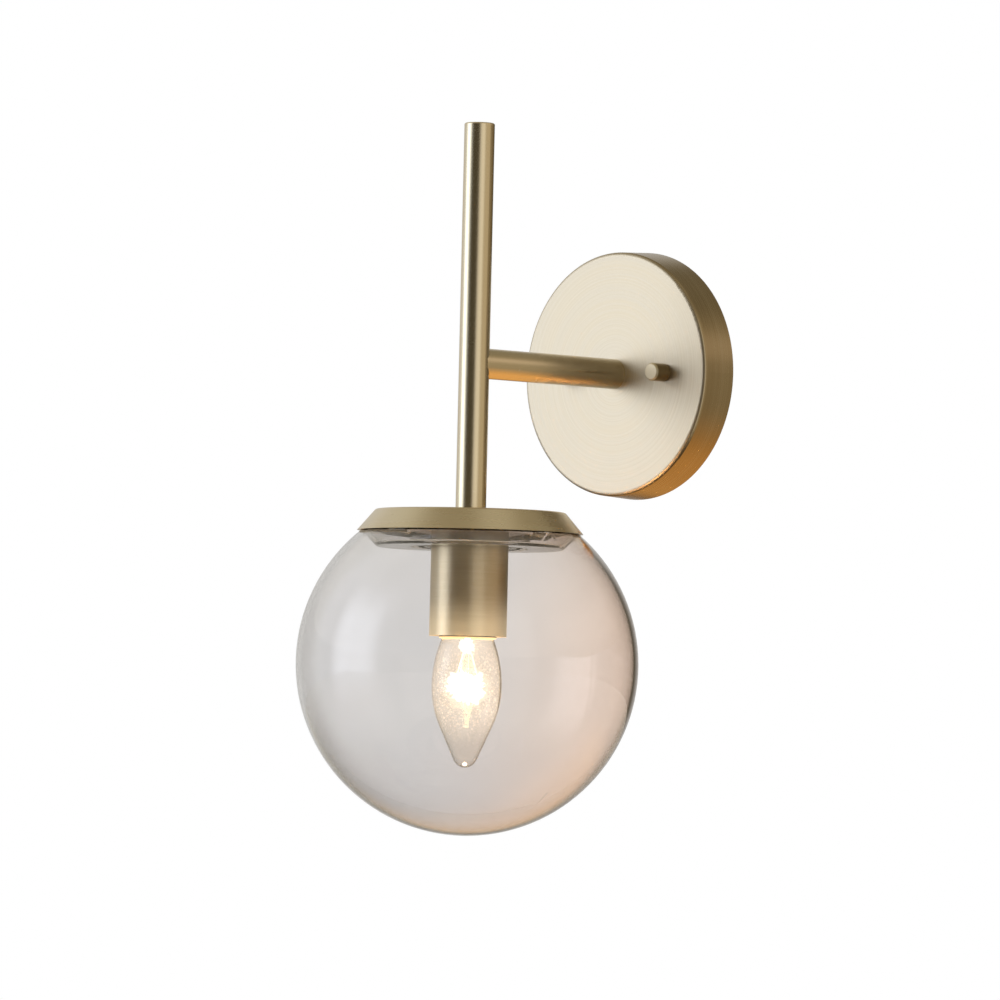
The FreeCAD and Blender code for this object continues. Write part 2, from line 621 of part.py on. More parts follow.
def make_bulb_glass():
    neck, upper, side, lower, taper_top, taper_end, nose, tip = bulb_points(0)
    in_neck, in_upper, in_side, in_lower, in_top, in_end, in_nose, in_tip = bulb_points(BULB_GLASS_WALL)
    collar = BASE_END_Z + BULB_NECK_GRIP
    glass = turned((neck[0], collar), neck, (upper, side), (lower, taper_top), taper_end, (nose, tip),
                   in_tip, (in_nose, in_end), in_top, (in_lower, in_side), (in_upper, in_neck),
                   (in_neck[0], collar))
    return on_stem(glass)


def make_bulb_base():
    outer, inner, flare_r = BASE_D / 2, BASE_D / 2 - BASE_WALL, BASE_FLARE_D / 2
    hole_r, ceiling = CONTACT_D / 2 + CONTACT_MARGIN, BASE_TOP_Z - BASE_END_WALL
    base = turned((outer, BASE_TOP_Z), (outer, BASE_END_Z + BASE_FLARE_HEIGHT),
                  (flare_r, BASE_END_Z + BASE_FLARE_HEIGHT / 3), (flare_r, BASE_END_Z),
                  (inner, BASE_END_Z), (inner, ceiling), (hole_r, ceiling), (hole_r, BASE_TOP_Z))
    return on_stem(base)


def make_bulb_insulator():
    return on_stem(turned((0, BASE_TOP_Z), (BASE_D / 2 - BASE_WALL, BASE_TOP_Z),
                          (CONTACT_D / 2 + CONTACT_MARGIN / 2, INSULATOR_TOP_Z), (0, INSULATOR_TOP_Z)))


def make_bulb_contact():
    contact_r = CONTACT_D / 2
    return on_stem(turned((0, INSULATOR_TOP_Z), (contact_r, INSULATOR_TOP_Z),
                          (contact_r, CONTACT_TOP_Z - CONTACT_HEIGHT / 2),
                          (contact_r / 2, CONTACT_TOP_Z), (0, CONTACT_TOP_Z)))


def filament_points():
    """Zigzag of straight coil runs between the two lead wires, both ends up."""
    middle = BULB_TIP_Z + FILAMENT_SHARE * (BASE_END_Z - BULB_TIP_Z)
    points = []
    for index in range(FILAMENT_RUNS + 1):
        angle = math.pi * index / FILAMENT_RUNS
        lift = -FILAMENT_RISE if index % 2 else FILAMENT_RISE
        points.append((FILAMENT_SPREAD * math.cos(angle),
                       -STEM_REACH - FILAMENT_BOW * math.sin(angle), middle + lift))
    return points


def lead_runs():
    """Ends of each wire in the bulb: the two leads, then the fine supports."""
    points = filament_points()
    clear = LEAD_CLEAR * (LEAD_D + FILAMENT_D) / 2
    leads, supports = [], []
    for tip in (points[0], points[-1]):
        side = math.copysign(1.0, tip[0])
        root = (side * LEAD_ROOTS / 2, -STEM_REACH, PINCH_Z + BULB_PINCH_BEVEL)
        leads.append((root, (tip[0] + side * clear, tip[1], tip[2])))
    for place in points[2:-1:2]:
        foot = (place[0] / FILAMENT_SPREAD, -STEM_REACH, PINCH_Z - SUPPORT_D)
        supports.append((foot, (place[0], place[1], place[2] + FILAMENT_D)))
    return leads, supports


def make_bulb_stem():
    """Flared glass stem, pinched flat round the lead wires."""
    flare_r = BULB_NECK_R - BULB_GLASS_WALL - FIT
    stem = on_stem(turned((0, BULB_NECK_Z), (flare_r, BULB_NECK_Z), (flare_r, BULB_NECK_Z - BULB_GLASS_WALL),
                          [(BULB_THROAT_D / 2, BULB_NECK_Z - BULB_THROAT_DROP),
                           (BULB_STEM_D / 2, PINCH_Z + BULB_PINCH_BEVEL)],
                          (BULB_PINCH_D / 2, PINCH_Z), (0, PINCH_Z)))
    for start, end in lead_runs()[0]:
        stem = stem.cut(stick(start, end, LEAD_D / 2 + FIT))
    return stem


def make_bulb_leads():
    """Two lead wires and two fine supports that hold the filament."""
    leads, supports = lead_runs()
    wires = [stick(start, end, LEAD_D / 2) for start, end in leads]
    wires += [stick(start, end, SUPPORT_D / 2) for start, end in supports]
    return Part.makeCompound(wires)


def make_bulb_filament():
    points = filament_points()
    runs = [stick(start, end, FILAMENT_D / 2) for start, end in zip(points, points[1:])]
    return runs[0].fuse(runs[1:])


# ---- Terminal block, earth screw and wires ----

def terminal_places():
    """Pole centres across the block."""
    return [-TERMINAL_PITCH, 0.0, TERMINAL_PITCH]


def make_terminal_pieces():
    width, depth, height = TERMINAL_BLOCK
    low, top = BLOCK_TOP_Z - height, BLOCK_TOP_Z
    near, far = BRACKET_THICKNESS, BRACKET_THICKNESS + depth
    barrel_r, screw_r, head_r = TERMINAL_BARREL_D / 2, TERMINAL_SCREW_D / 2, FIXING_HEAD_D / 2
    screw_end = far - TERMINAL_SCREW_SUNK
    slot_width, slot_depth = SCREW_SLOT
    housing = block((-width / 2, -far, low), (width / 2, -near, top))
    barrels, screws, fixings = [], [], []
    for x in terminal_places():
        housing = housing.cut(rod(barrel_r, low - CUT_PAST, top + CUT_PAST, x, -BLOCK_DEPTH))
        barrel = rod(barrel_r - FIT, low + TERMINAL_BARREL_INSET, top - TERMINAL_BARREL_INSET,
                     x, -BLOCK_DEPTH)
        barrel = barrel.cut(rod(TERMINAL_BORE / 2, low, top, x, -BLOCK_DEPTH))
        for z in (low + height / 4, top - height / 4):
            well = off_wall(rod(screw_r + FIT, BLOCK_DEPTH, far + CUT_PAST), x, z)
            housing = housing.cut(well)
            barrel = barrel.cut(well)
            screw = off_wall(rod(screw_r, BLOCK_DEPTH + TERMINAL_BORE / 2, screw_end), x, z)
            slot = block((x - screw_r, -screw_end - CUT_PAST, z - slot_width / 2),
                         (x + screw_r, -screw_end + slot_depth, z + slot_width / 2))
            screws.append(screw.cut(slot))
        barrels.append(barrel)
    middle, seat = (low + top) / 2, far - FIXING_RECESS
    for side in (-1, 1):
        x = side * TERMINAL_PITCH / 2
        hole = off_wall(rod(screw_r + FIT, 0, far + CUT_PAST), x, middle)
        recess = off_wall(rod(head_r + FIXING_RECESS_PLAY, seat, far + CUT_PAST), x, middle)
        housing = housing.cut([hole, recess])
        fixing = turned((0, 0), (screw_r, 0), (screw_r, seat), (head_r, seat),
                        (head_r, seat + FIXING_HEAD_HEIGHT), (0, seat + FIXING_HEAD_HEIGHT))
        fixings.append(off_wall(fixing, x, middle))
    return {
        "terminal_block": housing,
        "terminal_barrels": Part.makeCompound(barrels),
        "terminal_screws": Part.makeCompound(screws),
        "terminal_block_fixings": Part.makeCompound(fixings),
    }


def make_earth_screw():
    seat = BRACKET_THICKNESS + EARTH_EYE_THICKNESS
    head_r, shank_r, end = EARTH_HEAD_D / 2, EARTH_SCREW_D / 2, seat + EARTH_HEAD_HEIGHT
    width, length, depth = EARTH_CROSS
    screw = turned((0, 0), (shank_r, 0), (shank_r, seat), (head_r, seat), (head_r, seat + EARTH_HEAD_RIM),
                   (EARTH_HEAD_TOP_D / 2, end), (0, end))
    for turn in (0, 90):
        arm = block((-length / 2, -width / 2, end - depth), (length / 2, width / 2, end + CUT_PAST))
        arm.rotate(Vector(), Vector(0, 0, 1), turn)
        screw = screw.cut(arm)
    return off_wall(screw, EARTH_SCREW_OUT)


def make_earth_eyelet():
    """Ring terminal crimped on the earth wire, under the earth screw's head."""
    eye_r, low = EARTH_EYE_D / 2, BRACKET_THICKNESS
    high = low + EARTH_EYE_THICKNESS
    eye = ring(eye_r, EARTH_SCREW_D / 2 + HOLE_PLAY, low, high)
    tongue = block((-TONGUE_WIDTH / 2, -eye_r - CRIMP_START - TONGUE_IN_CRIMP, low),
                   (TONGUE_WIDTH / 2, -eye_r + TONGUE_IN_EYE, high))
    crimp = rod(CRIMP_D / 2, 0, CRIMP_LENGTH)
    crimp.rotate(Vector(), Vector(1, 0, 0), 90)
    crimp.translate(Vector(0, -eye_r - CRIMP_START, low + CRIMP_D / 2))
    eyelet = eye.fuse([tongue, crimp]).removeSplitter()
    return off_wall(eyelet, EARTH_SCREW_OUT)


def make_wires():
    wire_r, half = WIRE_D / 2, WIRE_SPACING / 2
    barrel_z = BLOCK_TOP_Z - WIRE_GRIP
    lift_z = BLOCK_TOP_Z + MAINS_RISE
    holder_z = CHAMBER_FLOOR_Z + HOLDER_TERMINAL[2]
    poles = terminal_places()
    wires = {}
    for name, pole_x, x in (("live_wire", poles[0], -half), ("neutral_wire", poles[1], half)):
        route = [(pole_x, -BLOCK_DEPTH, barrel_z), (pole_x, -BLOCK_DEPTH, lift_z),
                 (x, -BLOCK_DEPTH + wire_r, -ARM_ENTRY_DROP), (x, -STEM_REACH, 0.0),
                 (x, -STEM_REACH, holder_z)]
        wires[name] = bent_wire(route, [BLOCK_BEND_R, ARM_ENTRY_BEND_R, WIRE_BEND_R], wire_r)
    crimp_y = -BRACKET_THICKNESS - CRIMP_D / 2
    crimp_z = -EARTH_EYE_D / 2 - CRIMP_START - CRIMP_LENGTH
    loop_z = crimp_z - EARTH_LOOP_DROP
    route = [(poles[2], -BLOCK_DEPTH, barrel_z), (poles[2], -BLOCK_DEPTH, BLOCK_TOP_Z + EARTH_RISE),
             (EARTH_SCREW_OUT - EARTH_LOOP_SIDE, -EARTH_LOOP_OUT, loop_z), (EARTH_SCREW_OUT, crimp_y, loop_z),
             (EARTH_SCREW_OUT, crimp_y, crimp_z)]
    wires["earth_wire"] = bent_wire(route, [EARTH_BEND_R, EARTH_BEND_R, CRIMP_BEND_R], wire_r)
    return wires


def main():
    os.makedirs("parts", exist_ok=True)
    pieces = {
        "backplate": make_backplate(),
        "wall_bracket": make_bracket(),
        "bracket_studs": make_studs(),
        "stud_lock_nuts": make_stud_nuts(),
        "knob_nut_left": make_knob(-1),
        "knob_nut_right": make_knob(1),
        "shade_cap": make_cap(),
        "globe_fitter": make_fitter(),
        "globe_gasket": make_gasket(),
        "globe_glass": make_globe(),
        "socket_cup": make_cup(),
        "lamp_holder_body": make_holder_body(),
        "lamp_holder_shell": make_holder_shell(),
        "lamp_holder_contact": make_holder_contact(),
        "lamp_holder_terminals": make_holder_terminals(),
        "bulb_glass": make_bulb_glass(),
        "bulb_base": make_bulb_base(),
        "bulb_insulator": make_bulb_insulator(),
        "bulb_contact": make_bulb_contact(),
        "bulb_stem": make_bulb_stem(),
        "bulb_lead_wires": make_bulb_leads(),
        "bulb_filament": make_bulb_filament(),
        "earth_screw": make_earth_screw(),
        "earth_eyelet": make_earth_eyelet(),
    }
    pieces.update(make_arm_pieces())
    pieces.update(make_stem_pieces())
    pieces.update(make_terminal_pieces())
    pieces.update(make_wires())
    for name, shape in pieces.items():
        shape.exportStep("parts/" + name + ".step")
        print(name, "solids", len(shape.Solids), "valid", shape.isValid(), "volume", round(shape.Volume, 1))


main()
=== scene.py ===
import math

import bmesh
import bpy
from mathutils import Matrix, Vector, noise


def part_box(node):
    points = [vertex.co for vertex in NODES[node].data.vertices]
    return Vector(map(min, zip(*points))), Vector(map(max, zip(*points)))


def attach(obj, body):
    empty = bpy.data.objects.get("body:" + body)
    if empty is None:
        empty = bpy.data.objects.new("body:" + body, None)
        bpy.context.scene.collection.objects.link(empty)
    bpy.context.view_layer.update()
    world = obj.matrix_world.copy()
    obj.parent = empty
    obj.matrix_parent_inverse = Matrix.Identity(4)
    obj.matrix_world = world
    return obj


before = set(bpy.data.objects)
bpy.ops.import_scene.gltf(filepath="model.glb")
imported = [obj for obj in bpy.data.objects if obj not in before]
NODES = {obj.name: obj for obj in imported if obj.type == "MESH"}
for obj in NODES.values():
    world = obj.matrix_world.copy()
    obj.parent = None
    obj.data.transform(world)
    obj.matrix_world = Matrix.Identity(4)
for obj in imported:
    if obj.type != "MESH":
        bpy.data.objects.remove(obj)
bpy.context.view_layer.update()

# Globe wall sconce: satin brass backplate, arm, stem and cap, a clear glass globe and
# a lit candle bulb. Metres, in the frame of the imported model: the origin is the centre
# of the backplate on the wall plane, +Z is up and the lamp stands out along -Y.

MM = 0.001

# ---- Places read from the frame ----
GLOBE_LOW, GLOBE_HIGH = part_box("globe_glass")
GLOBE_R = (GLOBE_HIGH[0] - GLOBE_LOW[0]) / 2
GLOBE_CENTRE = Vector((0, (GLOBE_LOW[1] + GLOBE_HIGH[1]) / 2, GLOBE_LOW[2] + GLOBE_R))
STEM_AXIS = (0, GLOBE_CENTRE.y, 0)
FILAMENT_CENTRE = (Vector(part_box("bulb_filament")[0]) + Vector(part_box("bulb_filament")[1])) / 2
KNOB_X = sum(corner[0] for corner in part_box("knob_nut_right")) / 2
BULB_TIP_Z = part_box("bulb_glass")[0][2]
PLATE_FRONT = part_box("backplate")[0][1]
KNOB_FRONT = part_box("knob_nut_right")[0][1]
CUP_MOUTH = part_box("socket_cup")[0][2]
HOLDER_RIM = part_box("lamp_holder_body")[0][2]

# ---- Camera ----
CAMERA_DISTANCE = 4.0
CAMERA_AZIMUTH = math.radians(43.552)      # from straight in front, round to the right
CAMERA_ELEVATION = math.radians(-2.22)
CAMERA_ROLL = math.radians(1.332)
LOOK_RIGHT, LOOK_UP = 14.249 * MM, 80.608 * MM   # from the globe's centre
FOCAL_PX, PICTURE_PX, SENSOR_MM = 8157.1, 1000, 36.0
CAMERA_FAR = 30.0

# ---- Studio ----
FLOOR_DROP = 0.25          # below the globe
FLOOR_HALF = 3.0
AMBIENT = 0.80             # light from all round on what isn't shiny
SUN_STRENGTH = 0.7
SUN_ANGLE = math.radians(35)
SUN_FROM = Vector((-1.0, -1.5, 2.0))
BULB_POWER = 0.36
BULB_LIGHT = (1.0, 0.52, 0.20)
BULB_LIGHT_R = 5 * MM

# What shiny surfaces see. Angles are degrees round from the camera's side, to the right.
# (centre, half-width of the full part, half-width with its soft edge, low and high
# elevation as sines, softness of those, colour)
SOFT_LIGHTS = [
    (-84, 6, 24, -0.22, 0.50, 0.36, (1.75, 1.85, 2.05)),      # tall cool softbox, left
    (-90, 14, 44, -0.60, 0.66, 0.30, (0.52, 0.58, 0.68)),     # its spill
    (27, 13, 25, -0.70, 0.60, 0.35, (0.54, 0.53, 0.52)),      # softbox beside the camera
    (56, 14, 58, -0.70, 0.75, 0.30, (0.40, 0.36, 0.28)),      # its wide falloff
    (95, 20, 60, -0.70, 0.60, 0.30, (0.12, 0.08, 0.03)),      # the last of it, warm
    (-125, 10, 45, 0.62, 0.90, 0.25, (0.34, 0.36, 0.36)),     # overhead, left and behind
    (80, 20, 60, 0.90, 1.20, 0.10, (0.22, 0.22, 0.20)),       # overhead, right
    (93, 16, 44, 0.20, 0.46, 0.16, (0.30, 0.25, 0.22)),       # pale strip along the arm
    (150, 20, 62, -0.90, -0.38, 0.24, (0.90, 0.44, 0.11)),    # wall below, lit by the bulb
    (-155, 20, 52, -0.20, 0.60, 0.30, (0.62, 0.62, 0.62)),    # pale backdrop
]
STUDIO_DARK = (0.070, 0.058, 0.034)
STUDIO_TOP, TOP_RISE = (0.36, 0.31, 0.21), (0.25, 0.9)          # sines where it starts and is full
STUDIO_FLOOR, FLOOR_FALL = (0.20, 0.15, 0.09), (-0.3, -0.9)
PAPER = (0.94, 0.94, 0.94), (0.97, 0.97, 0.97)
PAPER_GRAIN = 400.0


# ---- Node helpers ----

class Tree:
    """A node tree with short calls that add a node and return its output."""

    def __init__(self, tree):
        self.tree = tree

    def add(self, kind, **settings):
        node = self.tree.nodes.new(kind)
        for name, value in settings.items():
            setattr(node, name, value)
        return node

    def feed(self, socket, value):
        if isinstance(value, bpy.types.NodeSocket):
            self.tree.links.new(value, socket)
        elif isinstance(value, (tuple, list)) and socket.type == "RGBA" and len(value) == 3:
            socket.default_value = (*value, 1.0)
        else:
            socket.default_value = value

    def math(self, operation, first, second=0.0):
        node = self.add("ShaderNodeMath", operation=operation)
        self.feed(node.inputs[0], first)
        self.feed(node.inputs[1], second)
        return node.outputs[0]

    def vector(self, operation, first, second=(0.0, 0.0, 0.0)):
        node = self.add("ShaderNodeVectorMath", operation=operation)
        self.feed(node.inputs[0], first)
        self.feed(node.inputs[1], second)
        return node.outputs["Value" if operation in ("LENGTH", "DISTANCE", "DOT_PRODUCT") else "Vector"]

    def scaled(self, vector, factor):
        node = self.add("ShaderNodeVectorMath", operation="SCALE")
        self.feed(node.inputs[0], vector)
        self.feed(node.inputs["Scale"], factor)
        return node.outputs[0]

    def combine(self, x, y, z):
        node = self.add("ShaderNodeCombineXYZ")
        for socket, value in zip(node.inputs, (x, y, z)):
            self.feed(socket, value)
        return node.outputs[0]

    def separate(self, vector):
        node = self.add("ShaderNodeSeparateXYZ")
        self.feed(node.inputs[0], vector)
        return list(node.outputs)

    def ramp(self, value, low, high, to_low=0.0, to_high=1.0):
        """Map value from low..high to to_low..to_high, eased at both ends."""
        node = self.add("ShaderNodeMapRange", interpolation_type="SMOOTHSTEP")
        for socket, given in zip(node.inputs, (value, low, high, to_low, to_high)):
            self.feed(socket, given)
        return node.outputs[0]

    def noise(self, vector, scale=1.0, detail=2.0, roughness=0.5):
        node = self.add("ShaderNodeTexNoise")
        for name, value in (("Vector", vector), ("Scale", scale), ("Detail", detail),
                            ("Roughness", roughness)):
            self.feed(node.inputs[name], value)
        return node.outputs[0]

    def mix(self, factor, first, second):
        node = self.add("ShaderNodeMix", data_type="RGBA")
        for name, value in (("Factor_Float", factor), ("A_Color", first), ("B_Color", second)):
            self.feed(next(s for s in node.inputs if s.identifier == name), value)
        return next(s for s in node.outputs if s.identifier == "Result_Color")

    def bump(self, height, strength, distance):
        node = self.add("ShaderNodeBump")
        for name, value in (("Height", height), ("Strength", strength), ("Distance", distance)):
            self.feed(node.inputs[name], value)
        return node.outputs[0]


def material(name, **sockets):
    """New material with its Principled shader's sockets set; returns it, its tree and shader."""
    made = bpy.data.materials.new(name)
    made.use_nodes = True
    tree = Tree(made.node_tree)
    shader = made.node_tree.nodes["Principled BSDF"]
    for socket, value in sockets.items():
        tree.feed(shader.inputs[socket.replace("_", " ")], value)
    return made, tree, shader


def opened(made):
    """The tree and the shader of a material that is already made."""
    return Tree(made.node_tree), made.node_tree.nodes["Principled BSDF"]


def place(tree):
    """Position on the piece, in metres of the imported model's frame."""
    return tree.add("ShaderNodeTexCoord").outputs["Object"]


def along(tree, axis):
    """One coordinate of that position."""
    return tree.separate(place(tree))["XYZ".index(axis)]


def glow(tree, shader, colour, strength):
    tree.feed(shader.inputs["Emission Color"], colour)
    tree.feed(shader.inputs["Emission Strength"], strength)


def tint(tree, shader, change):
    """Run the shader's base colour through a function of it."""
    metal = shader.inputs["Base Color"].links[0].from_socket
    tree.feed(shader.inputs["Base Color"], change(metal))


NOISE_SPAN = 0.3, 0.7      # where nearly all values of a noise texture lie

# ---- Metals ----

BRASS = (0.70, 0.605, 0.43)
BRASS_DARK = (0.60, 0.50, 0.33)
BRASS_SPAN = 0.32, 0.68                              # of the streaks, from dark brass to brass
FINE_SHARE, BROAD_SHARE, BROADER = 0.65, 0.35, 7     # fine rings, and broad ones 7 times as wide
WEAR_BELOW, WEAR_ABOVE = 0.4, 0.6                    # shares of wear on each side of the roughness
BRUSH_BUMP = 0.2 * MM
FACE_ROUGHNESS, RIM_ROUGHNESS = 0.44, 0.25
# painted light: the face is tinted less yellow as a painted sheen, and the rim is darkened as painted
# shade
FACE_PAINTED_SHEEN, RIM_PAINTED_SHADE = (0.88, 0.90, 0.98), (0.54, 0.50, 0.44)
FACE_BLEND = 1.2 * MM                                # from the plate's face back to its rim
# painted shade: the knob's barrel is darkened
BARREL_PAINTED_SHADE = (0.52, 0.46, 0.36)
BARREL_FROM, BARREL_FULL = 0.5 * MM, 1.0 * MM        # behind the knob's end face
CUP_LIGHT, CUP_GLOW = (1.0, 0.78, 0.46), 0.40        # the bulb's light on the cup's mouth
CUP_GLOW_H = 22 * MM                                 # over the mouth, where it ends
ZINC, ZINC_DULL = (0.72, 0.73, 0.74), (0.58, 0.59, 0.60)
RAW_BRASS, RAW_BRASS_DULL = (0.76, 0.60, 0.33), (0.62, 0.47, 0.24)
TIN, TIN_DULL = (0.80, 0.78, 0.74), (0.66, 0.63, 0.58)
METAL_ROUGHNESS = 0.24, 0.40
MOTTLE_SPAN = 0.35, 0.65                             # of the mottling, from dull to bright
SCRATCHES = (300.0, 2500.0, 2500.0)                  # per metre, along and across
SCRATCH_DEPTH, GRAIN_BUMP = 0.08, 0.1 * MM


def turned_rings(tree, axis, centre, spread):
    """Direction round a turned piece's axis, and the distance across its turning marks."""
    parts = tree.separate(tree.vector("SUBTRACT", place(tree), centre))
    height = parts["XYZ".index(axis)]
    across = [part for part, label in zip(parts, "XYZ") if label != axis]
    flat = tree.combine(*across, 0.0)
    radius = tree.vector("LENGTH", flat)
    around = tree.separate(tree.scaled(tree.vector("NORMALIZE", flat), spread))
    return around, tree.math("ADD", height, radius)


def brushed_brass(name, axis, centre, rings_per_m=1500.0, spread=0.9, roughness=0.265, depth=0.002,
                  contrast=0.25, wear=0.08):
    """Satin brass, brushed on the lathe round the given axis."""
    made, tree, shader = material(name, Metallic=1.0)
    around, across = turned_rings(tree, axis, centre, spread)

    def rings(per_m):
        return tree.combine(around[0], around[1], tree.math("MULTIPLY", across, per_m))

    fine = tree.noise(rings(rings_per_m), detail=3.0, roughness=0.65)
    broad = tree.noise(rings(rings_per_m / BROADER), detail=2.0)
    streak = tree.math("ADD", tree.math("MULTIPLY", fine, FINE_SHARE),
                       tree.math("MULTIPLY", broad, BROAD_SHARE))
    shade = tree.ramp(streak, *BRASS_SPAN, 1 - contrast, 1.0)
    tree.feed(shader.inputs["Base Color"], tree.mix(shade, BRASS_DARK, BRASS))
    tree.feed(shader.inputs["Roughness"],
              tree.ramp(streak, *NOISE_SPAN, roughness - WEAR_BELOW * wear, roughness + WEAR_ABOVE * wear))
    tree.feed(shader.inputs["Normal"], tree.bump(fine, depth, BRUSH_BUMP))
    return made


def plate_brass():
    """The plate's face is brushed coarser than its smooth rim; the rim is darkened by painted shade, and
    the face is tinted less yellow as a painted sheen.
    """
    made = brushed_brass("brass_plate", axis="Y", centre=(0, 0, 0), rings_per_m=1100.0, spread=0.35,
                         roughness=0.0, depth=0.10, contrast=1.0)
    tree, shader = opened(made)
    face = tree.ramp(along(tree, "Y"), PLATE_FRONT, PLATE_FRONT + FACE_BLEND, 1.0, 0.0)
    worn = shader.inputs["Roughness"].links[0].from_socket
    tree.feed(shader.inputs["Roughness"],
              tree.math("ADD", worn, tree.ramp(face, 0.0, 1.0, RIM_ROUGHNESS, FACE_ROUGHNESS)))
    # painted sheen on the face, painted shade on the rim
    tint(tree, shader, lambda metal: tree.mix(face, tree.vector("MULTIPLY", metal, RIM_PAINTED_SHADE),
                                              tree.vector("MULTIPLY", metal, FACE_PAINTED_SHEEN)))
    return made


def knob_brass(name, centre):
    """A knob nut's pale turned end, and its barrel darkened by painted shade."""
    made = brushed_brass(name, axis="Y", centre=centre, roughness=0.34, contrast=0.15)
    tree, shader = opened(made)
    barrel = tree.ramp(along(tree, "Y"), KNOB_FRONT + BARREL_FROM, KNOB_FRONT + BARREL_FULL)
    # painted shade on the barrel
    tint(tree, shader, lambda metal: tree.mix(barrel, metal, tree.vector("MULTIPLY", metal, BARREL_PAINTED_SHADE)))
    return made


def cup_brass():
    """The cup's mouth takes the light of the bulb below it."""
    made = brushed_brass("brass_cup", axis="Z", centre=STEM_AXIS, rings_per_m=1000.0, roughness=0.31,
                         contrast=0.6)
    tree, shader = opened(made)
    near = tree.ramp(along(tree, "Z"), CUP_MOUTH, CUP_MOUTH + CUP_GLOW_H, 1.0, 0.0)
    glow(tree, shader, CUP_LIGHT, tree.math("MULTIPLY", near, CUP_GLOW))
    return made


def plain_metal(name, colour, dull, scale=350.0):
    """Zinc-plated steel, raw brass or tin, with faint mottling and fine scratches."""
    made, tree, shader = material(name, Metallic=1.0)
    mottle = tree.noise(place(tree), scale=scale, detail=4.0, roughness=0.6)
    scratch = tree.noise(tree.vector("MULTIPLY", place(tree), SCRATCHES), detail=2.0)
    tree.feed(shader.inputs["Base Color"], tree.mix(tree.ramp(mottle, *MOTTLE_SPAN), dull, colour))
    tree.feed(shader.inputs["Roughness"], tree.ramp(mottle, *NOISE_SPAN, *METAL_ROUGHNESS))
    tree.feed(shader.inputs["Normal"], tree.bump(scratch, SCRATCH_DEPTH, GRAIN_BUMP))
    return made


# ---- Plastics, rubber and wires ----

RIM_LIGHT, RIM_GLOW = (1.0, 0.66, 0.30), 2.2         # the bulb's light on the lamp holder's rim
FITTER_LIGHT, FITTER_GLOW = (1.0, 0.84, 0.70), 0.30  # light that the glass sends up to the fitter
CLOUDS, CLOUD_SHADE = 90.0, 0.12                     # per metre, and how much darker
PITS, PITS_BELOW, PITS_ABOVE = 1800.0, 0.05, 0.08    # per metre, and roughness under and over
STRIPES, SLEEVE_GRAIN, SLEEVE_DEPTH = 900.0, 1500.0, 0.1
STRIPE_EDGE = 0.1, 0.3                               # of the sine that parts the two colours


def moulded(name, colour, roughness, depth=0.12):
    """Moulded or rubbery surface with a fine pitted grain."""
    made, tree, shader = material(name, Specular_IOR_Level=0.45)
    grain = tree.noise(place(tree), scale=PITS, detail=3.0)
    cloud = tree.noise(place(tree), scale=CLOUDS, detail=2.0)
    darker = tuple(channel * (1 - CLOUD_SHADE) for channel in colour)
    tree.feed(shader.inputs["Base Color"], tree.mix(cloud, darker, colour))
    tree.feed(shader.inputs["Roughness"],
              tree.ramp(grain, *NOISE_SPAN, roughness - PITS_BELOW, roughness + PITS_ABOVE))
    tree.feed(shader.inputs["Normal"], tree.bump(grain, depth, GRAIN_BUMP))
    return made


def holder_plastic():
    """Black holder whose rim, just below the cup, shines in the bulb's light."""
    made = moulded("holder_plastic_black", (0.030, 0.028, 0.026), 0.42)
    tree, shader = opened(made)
    glow(tree, shader, RIM_LIGHT, tree.ramp(along(tree, "Z"), HOLDER_RIM, CUP_MOUTH, RIM_GLOW, 0.0))
    return made


def fitter_enamel():
    """Pale enamel under the cap, in the light that the glass sends up to it."""
    made = moulded("fitter_enamel_pale", (0.66, 0.60, 0.54), 0.5)
    glow(*opened(made), FITTER_LIGHT, FITTER_GLOW)
    return made


def striped_wire(name, colour, stripe):
    """Earth wire: sleeving in two colours, in long stripes."""
    made, tree, shader = material(name, Roughness=0.45)
    x, y, z = tree.separate(place(tree))
    turn = tree.math("SINE", tree.math("MULTIPLY", tree.math("ADD", tree.math("ADD", x, y), z), STRIPES))
    grain = tree.noise(place(tree), scale=SLEEVE_GRAIN)
    tree.feed(shader.inputs["Base Color"], tree.mix(tree.ramp(turn, *STRIPE_EDGE), colour, stripe))
    tree.feed(shader.inputs["Normal"], tree.bump(grain, SLEEVE_DEPTH, GRAIN_BUMP))
    return made


# ---- Glass and the lit bulb ----

BLOWN_GLASS_IOR, STEM_GLASS_IOR = 1.45, 1.5
GLASS_COOL = (0.830, 0.820, 0.815)
# painted reflection: the warm light that the plate and wall send back into the glass
GLASS_PAINTED_BOUNCE = (0.910, 0.797, 0.720)
GLASS_LOW_DARKER = (0.962, 0.955, 0.960)   # times the above, low down on the globe: darker towards the bottom
LOW_DARK_FROM, LOW_DARK_FULL = 0.25, 0.9    # below the globe's centre, in its radii
WARM_SIDE = (0.50, 0.84, -0.20)       # towards the plate and wall, whose warm reflected light is painted into the glass's colour on that side
WARM_FROM = -0.1                      # that way from the globe's centre, in its radii
RIPPLES, RIPPLE_DEPTH, RIPPLE_BUMP = 26.0, 0.06, 1.0 * MM
ENVELOPE = (0.985, 0.950, 0.905)      # the bulb's glass
VEIL_LIGHT = (1.0, 0.78, 0.54)        # of the veil, the specks and the tip
BULB_VEIL, VEIL_FULL, VEIL_END = 0.08, 17 * MM, 34 * MM
BULB_SPECKS, SPECKS_PER_M = 0.50, 900.0
SPECK_SHARE, SPECK_SIZE = (0.72, 0.75), (0.22, 0.42)
SPECKS_BELOW = 38 * MM, 8 * MM        # under the filament: where they start and are full
SPECKS_ABOVE, SPECKS_LEFT = 26 * MM, 0.25   # over it: where they have thinned out, and to what share
TIP_GLINT = Vector((2.4 * MM, GLOBE_CENTRE.y - 2.6 * MM, BULB_TIP_Z + 1.9 * MM))   # on the sealed tip
